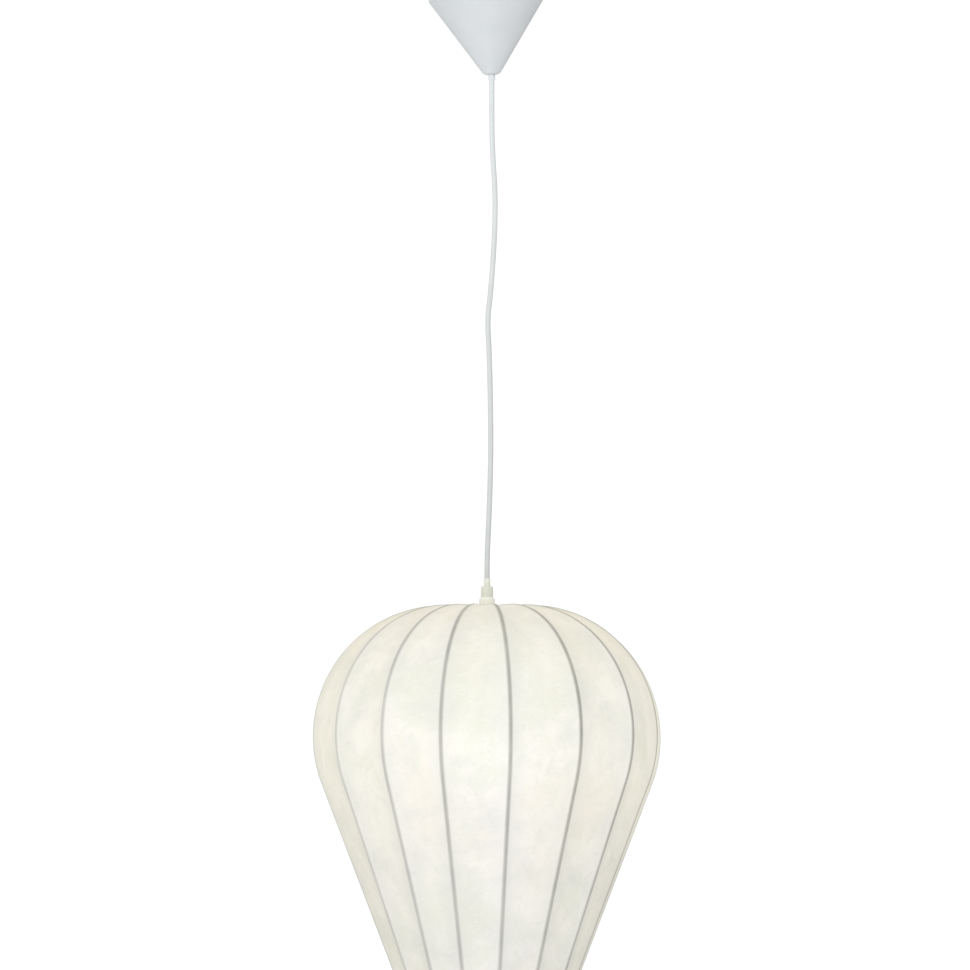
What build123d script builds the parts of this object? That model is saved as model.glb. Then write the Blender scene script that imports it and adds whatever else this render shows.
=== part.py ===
"""Electric pendant lamp: a ceiling canopy, a sheathed cord and a balloon-shaped cocoon shade.

The frame is +Z up, -Y to the front, with the origin on the ceiling at the middle of the
fixing plate. Everything hangs below z = 0. Sizes are millimetres.
"""

import os
from math import asin, cos, degrees, hypot, radians, sin, tan

from build123d import *

os.makedirs("parts", exist_ok=True)

# ---------------------------------------------------------------- driving dimensions

# Ceiling fixing
PLATE_LENGTH = 70.0
PLATE_WIDTH = 20.0
PLATE_THICKNESS = 3.0
PLATE_CORNER = 4.0
SCREW_SPACING = 50.0
SCREW_HOLE_RADIUS = 2.25
HOOK_WIRE_RADIUS = 2.0
HOOK_SHANK = 14.0
HOOK_BEND = 9.0
HOOK_TIP = 2.0
LOCKNUT_FLATS = 7.0
LOCKNUT_HEIGHT = 3.2

# Ring between the ceiling hook and the hanger clamp
RING_RADIUS = 8.5
RING_WIRE_RADIUS = 1.5

# Hanger clamp
EYE_HOLE_RADIUS = 3.6
EYE_WALL = 2.6
EYE_THICKNESS = 3.0
EYE_STEM = 7.0
CLAMP_WIDTH = 20.0
CLAMP_DEPTH = 12.0
CLAMP_HEAD = 6.0
CLAMP_BACK = 16.0
CLAMP_SPLIT = 1.0
CLAMP_CORNER = 1.5
CHANNEL_ROOF = 4.0
SADDLE_DROP = 2.0
SADDLE_HEIGHT = 12.0
CLAMP_SCREW_SPACING = 14.0
CLAMP_SCREW_RADIUS = 1.4
CLAMP_SCREW_HEAD_RADIUS = 2.6
CLAMP_SCREW_HEAD = 1.6
LEAD_SOCKET = 4.0

# Terminal block and the leads inside the canopy
LEAD_RADIUS = 1.1
LEAD_SPACING = 8.0
LEAD_OFFSET = 5.0
LEAD_BEND = 6.0
BLOCK_LENGTH = 18.0
BLOCK_WIDTH = 17.0
BLOCK_HEIGHT = 13.0
BLOCK_GAP = 7.5
BLOCK_FLOOR = 4.3
TUBE_LENGTH = 16.0
TUBE_RADIUS = 2.3
TUBE_BORE = 1.4
TERMINAL_SCREW_RADIUS = 1.2
TERMINAL_SCREW_LENGTH = 4.0
TERMINAL_SCREW_SPACING = 9.0

# Canopy
CANOPY_RADIUS = 67.0
CANOPY_HEIGHT = 92.5
CANOPY_TIP_RADIUS = 9.0
CANOPY_LIP = 5.0
CANOPY_WALL = 2.0
CANOPY_TIP_ROUND = 6.0
CANOPY_RIM_ROUND = 8.0
CANOPY_LEAN = 3.4
CANOPY_HOLE_PLAY = 0.6
CANOPY_TIP_X = 5.5
CANOPY_TIP_Z = -106.0
STOP_WALL = 0.9
STOP_HEIGHT = 6.0

# Cord
CORD_RADIUS = 3.0
SHEATH_WALL = 0.3
CORD_VISIBLE = 578.0
BEND_SHARE = 0.45

# Cord grip on top of the shade
SLEEVE_WALL = 0.75
SLEEVE_HEIGHT = 9.4
SLEEVE_WAIST = 0.2
SLEEVE_FOOT_PLAY = 0.45
SLEEVE_FOOT = 4.0
GRIP_TOP_RADIUS = 6.85
GRIP_BASE_RADIUS = 7.1
GRIP_HEIGHT = 12.1
GRIP_ROOF = 1.6
CUP_RADIUS = 9.25
CUP_BASE_RADIUS = 8.6
CUP_HEIGHT = 9.5
CUP_FLARE = 2.4
NIPPLE_RADIUS = 5.0
NIPPLE_BORE = 3.6
NIPPLE_IN_GRIP = 6.0
NIPPLE_IN_HOLDER = 12.0

# Shade
SHADE_TOP_RADIUS = 50.0
SHADE_ROUND = 150.0
SHADE_TAPER = 21.1
SHADE_HEIGHT = 500.0
SKIN = 0.6
FILM_SEAM = 0.1
CROWN_BANDS = ("film_crown", "film_shoulder", "film_belly")
RIB_RADIUS = 1.5
RIB_START = 12.0
RIB_ANGLES = (-58.4, -36.0, -15.0, 7.6, 31.8, 55.4, 75.0, 97.5,
              121.0, 143.0, 166.0, 188.5, 211.0, 234.0, 257.0, 279.0)
HUB_RADIUS = 24.0
HUB_THICKNESS = 2.0
BOTTOM_WIRE_RADIUS = 2.0

# Lampholder
HOLDER_RADIUS = 20.0
HOLDER_NECK_RADIUS = 8.0
HOLDER_NECK = 8.0
HOLDER_DOME = 10.0
HOLDER_CAP_SIDE = 10.0
HOLDER_WALL = 2.0
INSERT_THICKNESS = 10.0
INSERT_IN_SKIRT = 3.0
SKIRT_SLEEVE = 22.0
SKIRT_GUARD = 11.0
SKIRT_MOUTH_WALL = 2.5
SCREW_SHELL_RADIUS = 13.2
CONTACT = 0.5
CENTRE_CONTACT_DROP = 1.7
CONTACT_WIDTH = 5.0
CONTACT_END = 2.0
TONGUE_TIP = 1.0
SIDE_CONTACT_LENGTH = 9.0
SIDE_SLOT_REACH = 4.0
RIVET_RADIUS = 1.2
RIVET_PLACE = 6.0
HOLDER_LEAD_END = 9.5
HOLDER_LEAD_BEND = 2.6

# Bulb
BULB_RADIUS = 30.0
BULB_CAP_LENGTH = 23.5
BULB_CAP_WALL = 0.4
THREAD_PITCH = 3.6
THREAD_DEPTH = 0.7
THREAD_START = 2.5
THREAD_TURNS = 5
INSULATOR_RADIUS = 9.5
INSULATOR_HEIGHT = 2.4
INSULATOR_PLUG = 2.0
TIP_SEAT_RADIUS = 4.5
TIP_RADIUS = 4.0
TIP_CROWN_RADIUS = 3.0
TIP_HEIGHT = 0.9
BULB_BODY_NECK = 5.0
BULB_BODY_HEIGHT = 37.0
BULB_BODY_WALL = 1.7
BULB_BODY_LIP = 0.6
BULB_BODY_COLLAR = 8.0
BULB_BODY_FLARE = 1.4
BULB_BODY_TAPER_WALL = 2.1
BULB_BODY_BORE_END = 2.0
BULB_BODY_RIM = 4.0
BULB_BODY_RIM_FLOOR = 1.0
BULB_BODY_RIM_RADIUS = 27.0
DIFFUSER_WALL = 1.2
LED_BOARD = 1.4
LED_COUNT = 10
LED_CIRCLE = 16.0
LED_SIZE = 3.2
LED_HEIGHT = 0.7
DRIVER_WIDTH = 13.0
DRIVER_THICKNESS = 1.6
DRIVER_HEIGHT = 46.0

# Clearances
RUNNING = 0.05
FIT = 0.1
LOOSE = 0.3
HANGING = 0.2
SEAT = 0.02

# ---------------------------------------------------------------- levels worked out from them

HOOK_LOW = -HOOK_SHANK - 2 * HOOK_BEND
RING_TOP = HOOK_LOW + HOOK_WIRE_RADIUS + RING_WIRE_RADIUS + HANGING
RING_CENTRE = RING_TOP - RING_RADIUS
RING_LOW = RING_CENTRE - RING_RADIUS
EYE_CENTRE = RING_LOW + RING_WIRE_RADIUS + LOOSE - EYE_HOLE_RADIUS
EYE_RADIUS = EYE_HOLE_RADIUS + EYE_WALL
CLAMP_TOP = EYE_CENTRE - EYE_STEM
CLAMP_STEP = CLAMP_TOP - CLAMP_HEAD
CLAMP_BOTTOM = CLAMP_STEP - CLAMP_BACK
CHANNEL_RADIUS = CORD_RADIUS + FIT
CHANNEL_TOP = CLAMP_TOP - CHANNEL_ROOF
SADDLE_TOP = CLAMP_STEP - SADDLE_DROP
SADDLE_BOTTOM = SADDLE_TOP - SADDLE_HEIGHT

SLEEVE_TOP = CANOPY_TIP_Z - CORD_VISIBLE
GRIP_TOP = SLEEVE_TOP - SLEEVE_HEIGHT
CUP_TOP = GRIP_TOP - GRIP_HEIGHT
SHADE_TOP = CUP_TOP - CUP_HEIGHT
SHADE_BOTTOM = SHADE_TOP - SHADE_HEIGHT
RIB_INSET = SKIN + LOOSE + RIB_RADIUS
HUB_TOP = SHADE_TOP - RIB_INSET - RIB_RADIUS - SEAT
HUB_BOTTOM = HUB_TOP - HUB_THICKNESS
NIPPLE_TOP = CUP_TOP + NIPPLE_IN_GRIP
NIPPLE_BOTTOM = HUB_BOTTOM - NIPPLE_IN_HOLDER
CORD_END = NIPPLE_TOP + LOOSE
NIPPLE_HOLE = NIPPLE_RADIUS + RUNNING
SLEEVE_RADIUS = CORD_RADIUS + SLEEVE_WALL
SLEEVE_FOOT_RADIUS = NIPPLE_HOLE - SLEEVE_FOOT_PLAY
HOLDER_LEAD_OFFSET = CORD_RADIUS - SHEATH_WALL - LEAD_RADIUS

NECK_BOTTOM = HUB_BOTTOM - HOLDER_NECK
DOME_BOTTOM = NECK_BOTTOM - HOLDER_DOME
CAP_BOTTOM = DOME_BOTTOM - HOLDER_CAP_SIDE
INSERT_BOTTOM = CAP_BOTTOM - INSERT_IN_SKIRT
INSERT_TOP = INSERT_BOTTOM + INSERT_THICKNESS
INSERT_RADIUS = HOLDER_RADIUS - HOLDER_WALL - LOOSE
SLEEVE_BORE = SCREW_SHELL_RADIUS + FIT
SLEEVE_LEDGE = INSERT_BOTTOM - LOOSE
SLEEVE_END = SLEEVE_LEDGE - SKIRT_SLEEVE
SKIRT_BOTTOM = SLEEVE_END - SKIRT_GUARD

TIP_TOP = INSERT_BOTTOM - CONTACT - CENTRE_CONTACT_DROP - FIT
INSULATOR_TOP = TIP_TOP - TIP_HEIGHT
SHELL_TOP = INSULATOR_TOP - INSULATOR_HEIGHT
SHELL_BOTTOM = SHELL_TOP - BULB_CAP_LENGTH
BODY_RIM = SHELL_BOTTOM - BULB_BODY_HEIGHT
BULB_CENTRE = BODY_RIM - (BULB_RADIUS**2 - BULB_BODY_RIM_RADIUS**2) ** 0.5


def save(piece, name):
    """Label one finished piece and write it as a STEP file."""
    piece.label = name
    export_step(piece, f"parts/{name}.step")


def upright(angle):
    """Vertical plane through the lamp's axis: x runs outward at this angle from the front, y up."""
    outward = Vector(sin(radians(angle)), -cos(radians(angle)), 0)
    return Plane(origin=(0, 0, 0), x_dir=outward, z_dir=outward.cross(Vector(0, 0, 1)))


def turned(*outline):
    """Solid of revolution about the lamp's axis from (radius, height) points."""
    with BuildPart() as body:
        with BuildSketch(Plane.XZ):
            with BuildLine():
                Polyline(*outline, close=True)
            make_face()
        revolve(axis=Axis.Z)
    return body.part


def wall_radius(inset, height):
    """Radius of the shade's tapering wall at a height, moved inward by inset."""
    lean = radians(SHADE_TAPER)
    crown_end = SHADE_TOP - SHADE_ROUND - (SHADE_ROUND - inset) * sin(lean)
    return SHADE_TOP_RADIUS + (SHADE_ROUND - inset) * cos(lean) - (crown_end - height) * tan(lean)


def shade_curve(inset, start, end_height):
    """Draw the shade's outline, moved inward by inset, from radius start down to end_height."""
    top = SHADE_TOP - inset
    lid = Line((start, top), (SHADE_TOP_RADIUS, top))
    crown = JernArc(lid @ 1, (1, 0), SHADE_ROUND - inset, -(90 + SHADE_TAPER))
    Line(crown @ 1, (wall_radius(inset, end_height), end_height))


# ---------------------------------------------------------------- ceiling fixing

with BuildPart() as ceiling_plate:
    with BuildSketch(Plane.XY.offset(-PLATE_THICKNESS)):
        RectangleRounded(PLATE_LENGTH, PLATE_WIDTH, PLATE_CORNER)
        with GridLocations(SCREW_SPACING, 0, 2, 1):
            Circle(SCREW_HOLE_RADIUS, mode=Mode.SUBTRACT)
        Circle(HOOK_WIRE_RADIUS + RUNNING, mode=Mode.SUBTRACT)
    extrude(amount=PLATE_THICKNESS)
save(ceiling_plate.part, "ceiling_plate")

with BuildPart() as ceiling_hook:
    with BuildLine(Plane.XZ) as hook_path:
        shank = Line((0, -LOOSE), (0, -HOOK_SHANK))
        swerve = JernArc(shank @ 1, (0, -1), HOOK_BEND / 2, -90)
        shoulder = JernArc(swerve @ 1, (-1, 0), HOOK_BEND / 2, 90)
        bowl = JernArc(shoulder @ 1, (0, -1), HOOK_BEND, 180)
        Line(bowl @ 1, (HOOK_BEND, HOOK_LOW + HOOK_BEND + HOOK_TIP))
    with BuildSketch(Plane(hook_path.line @ 0, z_dir=hook_path.line % 0)):
        Circle(HOOK_WIRE_RADIUS)
    sweep()
save(ceiling_hook.part, "ceiling_hook")

with BuildPart() as hook_locknut:
    with BuildSketch(Plane.XY.offset(-PLATE_THICKNESS - LOCKNUT_HEIGHT)):
        RegularPolygon(LOCKNUT_FLATS / 2, 6, major_radius=False)
        Circle(HOOK_WIRE_RADIUS + RUNNING, mode=Mode.SUBTRACT)
    extrude(amount=LOCKNUT_HEIGHT)
save(hook_locknut.part, "hook_locknut")

with BuildPart() as hanging_ring:
    with BuildSketch(Plane.XZ):
        with Locations((0, RING_TOP)):
            Circle(RING_WIRE_RADIUS)
    revolve(axis=Axis((0, 0, RING_CENTRE), (1, 0, 0)))
save(hanging_ring.part, "hanging_ring")

# ---------------------------------------------------------------- hanger clamp on the cord's end

CLAMP_X = CANOPY_TIP_X
LEAD_X = CLAMP_X + LEAD_OFFSET
LEAD_Y = LEAD_SPACING / 2
SADDLE_MIDDLE = (SADDLE_TOP + SADDLE_BOTTOM) / 2

with BuildPart() as hanger_clamp:
    with BuildSketch(Plane.XZ.offset(-EYE_THICKNESS / 2)):
        with Locations((0, EYE_CENTRE)):
            Circle(EYE_RADIUS)
        with Locations((0, EYE_CENTRE - EYE_STEM / 2)):
            Rectangle(2 * EYE_RADIUS, EYE_STEM)
        with Locations((0, EYE_CENTRE)):
            Circle(EYE_HOLE_RADIUS, mode=Mode.SUBTRACT)
    extrude(amount=EYE_THICKNESS)
    with BuildSketch(Plane.XY.offset(CLAMP_STEP)):
        with Locations((CLAMP_X, 0)):
            RectangleRounded(CLAMP_WIDTH, CLAMP_DEPTH, CLAMP_CORNER)
    extrude(amount=CLAMP_HEAD)
    with BuildSketch(Plane.XY.offset(CLAMP_BOTTOM)):
        with Locations((CLAMP_X, CLAMP_SPLIT / 2)):
            Rectangle(CLAMP_WIDTH, CLAMP_DEPTH / 2 - CLAMP_SPLIT / 2, align=(Align.CENTER, Align.MIN))
    extrude(amount=CLAMP_BACK)
    with BuildSketch(Plane.XY.offset(CLAMP_BOTTOM)):
        with Locations((CLAMP_X, 0)):
            Circle(CHANNEL_RADIUS)
    extrude(amount=CHANNEL_TOP - CLAMP_BOTTOM, mode=Mode.SUBTRACT)
    with BuildSketch(Plane.XY.offset(CLAMP_TOP - LEAD_SOCKET)):
        with Locations((LEAD_X, -LEAD_Y), (LEAD_X, LEAD_Y)):
            Circle(LEAD_RADIUS + FIT)
    extrude(amount=LEAD_SOCKET, mode=Mode.SUBTRACT)
    with BuildSketch(Plane.XZ.offset(-CLAMP_DEPTH / 2)):
        with Locations((CLAMP_X, SADDLE_MIDDLE)):
            with GridLocations(CLAMP_SCREW_SPACING, 0, 2, 1):
                Circle(CLAMP_SCREW_RADIUS + RUNNING)
    extrude(amount=CLAMP_DEPTH / 2, mode=Mode.SUBTRACT)
save(hanger_clamp.part, "hanger_clamp")

with BuildPart() as clamp_saddle:
    with BuildSketch(Plane.XY.offset(SADDLE_BOTTOM)):
        with Locations((CLAMP_X, -CLAMP_SPLIT / 2)):
            Rectangle(CLAMP_WIDTH, CLAMP_DEPTH / 2 - CLAMP_SPLIT / 2, align=(Align.CENTER, Align.MAX))
        with Locations((CLAMP_X, 0)):
            Circle(CHANNEL_RADIUS, mode=Mode.SUBTRACT)
    extrude(amount=SADDLE_HEIGHT)
    with BuildSketch(Plane.XZ):
        with Locations((CLAMP_X, SADDLE_MIDDLE)):
            with GridLocations(CLAMP_SCREW_SPACING, 0, 2, 1):
                Circle(CLAMP_SCREW_RADIUS + FIT)
    extrude(amount=CLAMP_DEPTH / 2, mode=Mode.SUBTRACT)
save(clamp_saddle.part, "clamp_saddle")

with BuildPart() as clamp_screws:
    with BuildSketch(Plane.XZ.offset(CLAMP_DEPTH / 2)):
        with Locations((CLAMP_X, SADDLE_MIDDLE)):
            with GridLocations(CLAMP_SCREW_SPACING, 0, 2, 1):
                Circle(CLAMP_SCREW_RADIUS)
    extrude(amount=-CLAMP_DEPTH)
    with BuildSketch(Plane.XZ.offset(CLAMP_DEPTH / 2)):
        with Locations((CLAMP_X, SADDLE_MIDDLE)):
            with GridLocations(CLAMP_SCREW_SPACING, 0, 2, 1):
                Circle(CLAMP_SCREW_HEAD_RADIUS)
    extrude(amount=CLAMP_SCREW_HEAD)
save(clamp_screws.part, "clamp_screws")

# ---------------------------------------------------------------- terminal block and its leads

BLOCK_LEFT = LEAD_X + BLOCK_GAP
BLOCK_MIDDLE = BLOCK_LEFT + BLOCK_LENGTH / 2
BLOCK_BOTTOM = EYE_CENTRE + EYE_HOLE_RADIUS
LEAD_HEIGHT = BLOCK_BOTTOM + BLOCK_FLOOR
BLOCK_TOP = BLOCK_BOTTOM + BLOCK_HEIGHT
TERMINAL_SCREW_FOOT = LEAD_HEIGHT + LEAD_RADIUS + FIT

with BuildPart() as terminal_block:
    with BuildSketch(Plane.XY.offset(BLOCK_BOTTOM)):
        with Locations((BLOCK_MIDDLE, 0)):
            RectangleRounded(BLOCK_LENGTH, BLOCK_WIDTH, CLAMP_CORNER)
    extrude(amount=BLOCK_HEIGHT)
    with BuildSketch(Plane.YZ.offset(BLOCK_LEFT)):
        with Locations((-LEAD_Y, LEAD_HEIGHT), (LEAD_Y, LEAD_HEIGHT)):
            Circle(TUBE_RADIUS + FIT)
    extrude(amount=BLOCK_LENGTH, mode=Mode.SUBTRACT)
    with BuildSketch(Plane.XY.offset(LEAD_HEIGHT)):
        with Locations((BLOCK_MIDDLE, 0)):
            with GridLocations(TERMINAL_SCREW_SPACING, LEAD_SPACING, 2, 2):
                Circle(TERMINAL_SCREW_RADIUS + 2 * FIT)
    extrude(amount=BLOCK_TOP - LEAD_HEIGHT, mode=Mode.SUBTRACT)
save(terminal_block.part, "terminal_block")

with BuildPart() as terminal_tubes:
    with BuildSketch(Plane.YZ.offset(BLOCK_MIDDLE - TUBE_LENGTH / 2)):
        with Locations((-LEAD_Y, LEAD_HEIGHT), (LEAD_Y, LEAD_HEIGHT)):
            Circle(TUBE_RADIUS)
            Circle(TUBE_BORE, mode=Mode.SUBTRACT)
    extrude(amount=TUBE_LENGTH)
    with BuildSketch(Plane.XY.offset(LEAD_HEIGHT)):
        with Locations((BLOCK_MIDDLE, 0)):
            with GridLocations(TERMINAL_SCREW_SPACING, LEAD_SPACING, 2, 2):
                Circle(TERMINAL_SCREW_RADIUS + RUNNING)
    extrude(amount=TUBE_RADIUS, mode=Mode.SUBTRACT)
save(terminal_tubes.part, "terminal_tubes")

with BuildPart() as terminal_screws:
    with BuildSketch(Plane.XY.offset(TERMINAL_SCREW_FOOT)):
        with Locations((BLOCK_MIDDLE, 0)):
            with GridLocations(TERMINAL_SCREW_SPACING, LEAD_SPACING, 2, 2):
                Circle(TERMINAL_SCREW_RADIUS)
    extrude(amount=TERMINAL_SCREW_LENGTH)
save(terminal_screws.part, "terminal_screws")

with BuildPart() as supply_leads:
    for side in (-LEAD_Y, LEAD_Y):
        with BuildLine(Plane.XZ.offset(-side)) as lead_path:
            FilletPolyline((LEAD_X, CLAMP_TOP - LEAD_SOCKET + FIT), (LEAD_X, LEAD_HEIGHT),
                           (BLOCK_MIDDLE, LEAD_HEIGHT), radius=LEAD_BEND)
        with BuildSketch(Plane(lead_path.line @ 0, z_dir=lead_path.line % 0)):
            Circle(LEAD_RADIUS)
        sweep()
save(supply_leads.part, "supply_leads")

# ---------------------------------------------------------------- canopy and its cord stop

CANOPY_AXIS = Vector(-sin(radians(CANOPY_LEAN)), 0, cos(radians(CANOPY_LEAN)))
CANOPY_TIP = Vector(CANOPY_TIP_X, 0, CANOPY_TIP_Z)
CONE_TOP = CANOPY_HEIGHT - CANOPY_LIP
CONE_SLOPE = (CANOPY_RADIUS - CANOPY_TIP_RADIUS) / CONE_TOP
WALL_ACROSS = CANOPY_WALL * hypot(1, CONE_SLOPE)
INNER_RADIUS = CANOPY_RADIUS - CANOPY_WALL
INNER_TIP = CANOPY_TIP_RADIUS + CANOPY_WALL * CONE_SLOPE - WALL_ACROSS
INNER_CONE_TOP = (INNER_RADIUS - CANOPY_TIP_RADIUS + WALL_ACROSS) / CONE_SLOPE

with BuildPart() as canopy:
    canopy_plane = Plane(origin=CANOPY_TIP, x_dir=CANOPY_AXIS.cross(Vector(0, -1, 0)), z_dir=(0, -1, 0))
    with BuildSketch(canopy_plane) as canopy_section:
        with BuildLine():
            Polyline((0, 0), (CANOPY_TIP_RADIUS, 0), (CANOPY_RADIUS, CONE_TOP),
                     (CANOPY_RADIUS, CANOPY_HEIGHT), (0, CANOPY_HEIGHT), close=True)
        make_face()
        corners = canopy_section.vertices()
        fillet(corners.sort_by_distance((CANOPY_TIP_RADIUS, 0))[0], CANOPY_TIP_ROUND)
        fillet(corners.sort_by_distance((CANOPY_RADIUS, CONE_TOP))[0], CANOPY_RIM_ROUND)
    revolve(axis=Axis(CANOPY_TIP, CANOPY_AXIS))
    with BuildSketch(canopy_plane) as canopy_hollow:
        with BuildLine():
            Polyline((0, CANOPY_WALL), (INNER_TIP, CANOPY_WALL), (INNER_RADIUS, INNER_CONE_TOP),
                     (INNER_RADIUS, CANOPY_HEIGHT), (0, CANOPY_HEIGHT), close=True)
        make_face()
        corners = canopy_hollow.vertices()
        fillet(corners.sort_by_distance((INNER_TIP, CANOPY_WALL))[0], CANOPY_TIP_ROUND - CANOPY_WALL)
        fillet(corners.sort_by_distance((INNER_RADIUS, INNER_CONE_TOP))[0], CANOPY_RIM_ROUND - CANOPY_WALL)
    revolve(axis=Axis(CANOPY_TIP, CANOPY_AXIS), mode=Mode.SUBTRACT)
    with BuildSketch(Plane(origin=CANOPY_TIP, z_dir=CANOPY_AXIS)):
        Circle(CORD_RADIUS + CANOPY_HOLE_PLAY)
    extrude(amount=CANOPY_WALL, mode=Mode.SUBTRACT)
save(canopy.part, "canopy")

with BuildPart() as canopy_stop:
    with BuildSketch(Plane.XY.offset(CANOPY_TIP_Z - LOOSE - STOP_HEIGHT)):
        with Locations((CANOPY_TIP_X, 0)):
            Circle(CORD_RADIUS + STOP_WALL)
            Circle(CORD_RADIUS + RUNNING, mode=Mode.SUBTRACT)
    extrude(amount=STOP_HEIGHT)
save(canopy_stop.part, "canopy_stop")

# ---------------------------------------------------------------- cord

# The route hangs straight out of the clamp and through the canopy, then wanders a little on
# its way down to the grip. Each point is (x, y, height below the canopy's tip).
CORD_ROUTE = (
    (5.5, 0.0, 66.0),
    (6.9, -0.8, 100.0),
    (9.2, -1.8, 132.0),
    (9.2, -2.6, 172.0),
    (6.9, -1.4, 215.0),
    (3.6, 0.8, 256.0),
    (0.4, 2.2, 282.0),
    (2.5, 2.4, 318.0),
    (3.8, 0.9, 370.0),
    (4.5, -1.0, 430.0),
    (3.1, -1.7, 486.0),
    (1.3, -0.9, 528.0),
    (0.0, 0.0, 556.0),
)
cord_points = [Vector(CANOPY_TIP_X, 0, CHANNEL_TOP - FIT)]
cord_points += [Vector(x, y, CANOPY_TIP_Z - drop) for x, y, drop in CORD_ROUTE]
cord_points += [Vector(0, 0, CORD_END)]

cord_radii = []
for before, corner, after in zip(cord_points, cord_points[1:], cord_points[2:]):
    shorter = min((corner - before).length, (after - corner).length)
    turn = (corner - before).get_angle(after - corner)
    cord_radii.append(BEND_SHARE * shorter / tan(radians(turn) / 2))
print("cord radii", [round(radius) for radius in cord_radii])

with BuildPart() as pendant_cord:
    with BuildLine() as cord_path:
        FilletPolyline(*cord_points, radius=cord_radii)
    with BuildSketch(Plane(cord_path.line @ 0, z_dir=cord_path.line % 0)):
        Circle(CORD_RADIUS)
    sweep()
print("cord length", round(cord_path.wire().length, 1))
save(pendant_cord.part, "pendant_cord")

# ---------------------------------------------------------------- cord grip

SLEEVE_SEAT = GRIP_TOP - GRIP_ROOF
SLEEVE_MIDDLE = (SLEEVE_TOP + GRIP_TOP) / 2
FOOT_BOTTOM = SLEEVE_SEAT - SLEEVE_FOOT
FLARE_END = CUP_TOP - CUP_FLARE
BORE = CORD_RADIUS + FIT

grip_sleeve = turned((BORE, SLEEVE_TOP), (SLEEVE_RADIUS, SLEEVE_TOP),
                     (SLEEVE_RADIUS - SLEEVE_WAIST, SLEEVE_MIDDLE), (SLEEVE_RADIUS, GRIP_TOP),
                     (SLEEVE_RADIUS, SLEEVE_SEAT - FIT), (SLEEVE_FOOT_RADIUS, SLEEVE_SEAT - FIT),
                     (SLEEVE_FOOT_RADIUS, FOOT_BOTTOM), (BORE, FOOT_BOTTOM))
save(grip_sleeve, "grip_sleeve")

grip_body = turned((SLEEVE_RADIUS + FIT, GRIP_TOP), (GRIP_TOP_RADIUS, GRIP_TOP),
                   (GRIP_BASE_RADIUS, CUP_TOP), (NIPPLE_HOLE, CUP_TOP),
                   (NIPPLE_HOLE, SLEEVE_SEAT), (SLEEVE_RADIUS + FIT, SLEEVE_SEAT))
save(grip_body, "grip_body")

base_cup = turned((NIPPLE_HOLE, CUP_TOP), (GRIP_BASE_RADIUS, CUP_TOP), (CUP_RADIUS, FLARE_END),
                  (CUP_BASE_RADIUS, SHADE_TOP), (CUP_BASE_RADIUS, HUB_TOP), (NIPPLE_HOLE, HUB_TOP))
save(base_cup, "base_cup")

threaded_nipple = turned((NIPPLE_BORE, NIPPLE_TOP), (NIPPLE_RADIUS, NIPPLE_TOP),
                         (NIPPLE_RADIUS, NIPPLE_BOTTOM), (NIPPLE_BORE, NIPPLE_BOTTOM))
save(threaded_nipple, "threaded_nipple")

# ---------------------------------------------------------------- shade frame and skin

rib_hub = turned((NIPPLE_HOLE, HUB_TOP), (HUB_RADIUS, HUB_TOP),
                 (HUB_RADIUS, HUB_BOTTOM), (NIPPLE_HOLE, HUB_BOTTOM))
save(rib_hub, "rib_hub")

# The bottom wire lies against the inside of the skin, and the ribs end on top of it.
WIRE_HEIGHT = SHADE_BOTTOM + LOOSE + BOTTOM_WIRE_RADIUS
WIRE_INSET = SKIN + LOOSE + BOTTOM_WIRE_RADIUS
RIB_END = WIRE_HEIGHT + (BOTTOM_WIRE_RADIUS + SEAT) / cos(radians(SHADE_TAPER))

for number, angle in enumerate(RIB_ANGLES, start=1):
    with BuildPart() as rib:
        with BuildLine(upright(angle)) as rib_path:
            shade_curve(RIB_INSET, RIB_START, RIB_END)
        with BuildSketch(Plane(rib_path.line @ 0, z_dir=rib_path.line % 0)):
            Circle(RIB_RADIUS)
        sweep()
    save(rib.part, f"rib_{number:02d}")

with BuildPart() as bottom_wire:
    with BuildSketch(Plane.XZ):
        with Locations((wall_radius(WIRE_INSET, WIRE_HEIGHT), WIRE_HEIGHT)):
            Circle(BOTTOM_WIRE_RADIUS)
    revolve(axis=Axis.Z)
save(bottom_wire.part, "bottom_wire")

# The film is modelled as rings of panels, one panel between each two ribs, with a hair of
# space between them. The rings are the flat lid, the bands of the round crown and the taper.
SKIN_HOLE = CUP_BASE_RADIUS + LOOSE
FILM_REACH = SHADE_TOP_RADIUS + SHADE_ROUND + LOOSE
CROWN_CENTRE = (SHADE_TOP_RADIUS, SHADE_TOP - SHADE_ROUND)
CROWN_END = CROWN_CENTRE[1] - SHADE_ROUND * sin(radians(SHADE_TAPER))
BAND_TURN = (90 + SHADE_TAPER) / len(CROWN_BANDS)
SEAM_TURN = degrees(FILM_SEAM / SHADE_ROUND)


def save_panels(ring, name):
    """Slit a ring of film over each rib and save the panels that are left."""
    with BuildPart() as panels:
        add(ring)
        for angle in RIB_ANGLES:
            with BuildSketch(upright(angle)):
                with Locations((0, (SHADE_TOP + SHADE_BOTTOM) / 2)):
                    Rectangle(FILM_REACH, SHADE_HEIGHT + 2 * LOOSE, align=(Align.MIN, Align.CENTER))
            extrude(amount=FILM_SEAM / 2, both=True, mode=Mode.SUBTRACT)
    save(panels.part, name)


save_panels(turned((SKIN_HOLE, SHADE_TOP), (SHADE_TOP_RADIUS, SHADE_TOP),
                   (SHADE_TOP_RADIUS, SHADE_TOP - SKIN), (SKIN_HOLE, SHADE_TOP - SKIN)), "film_lid")

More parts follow.
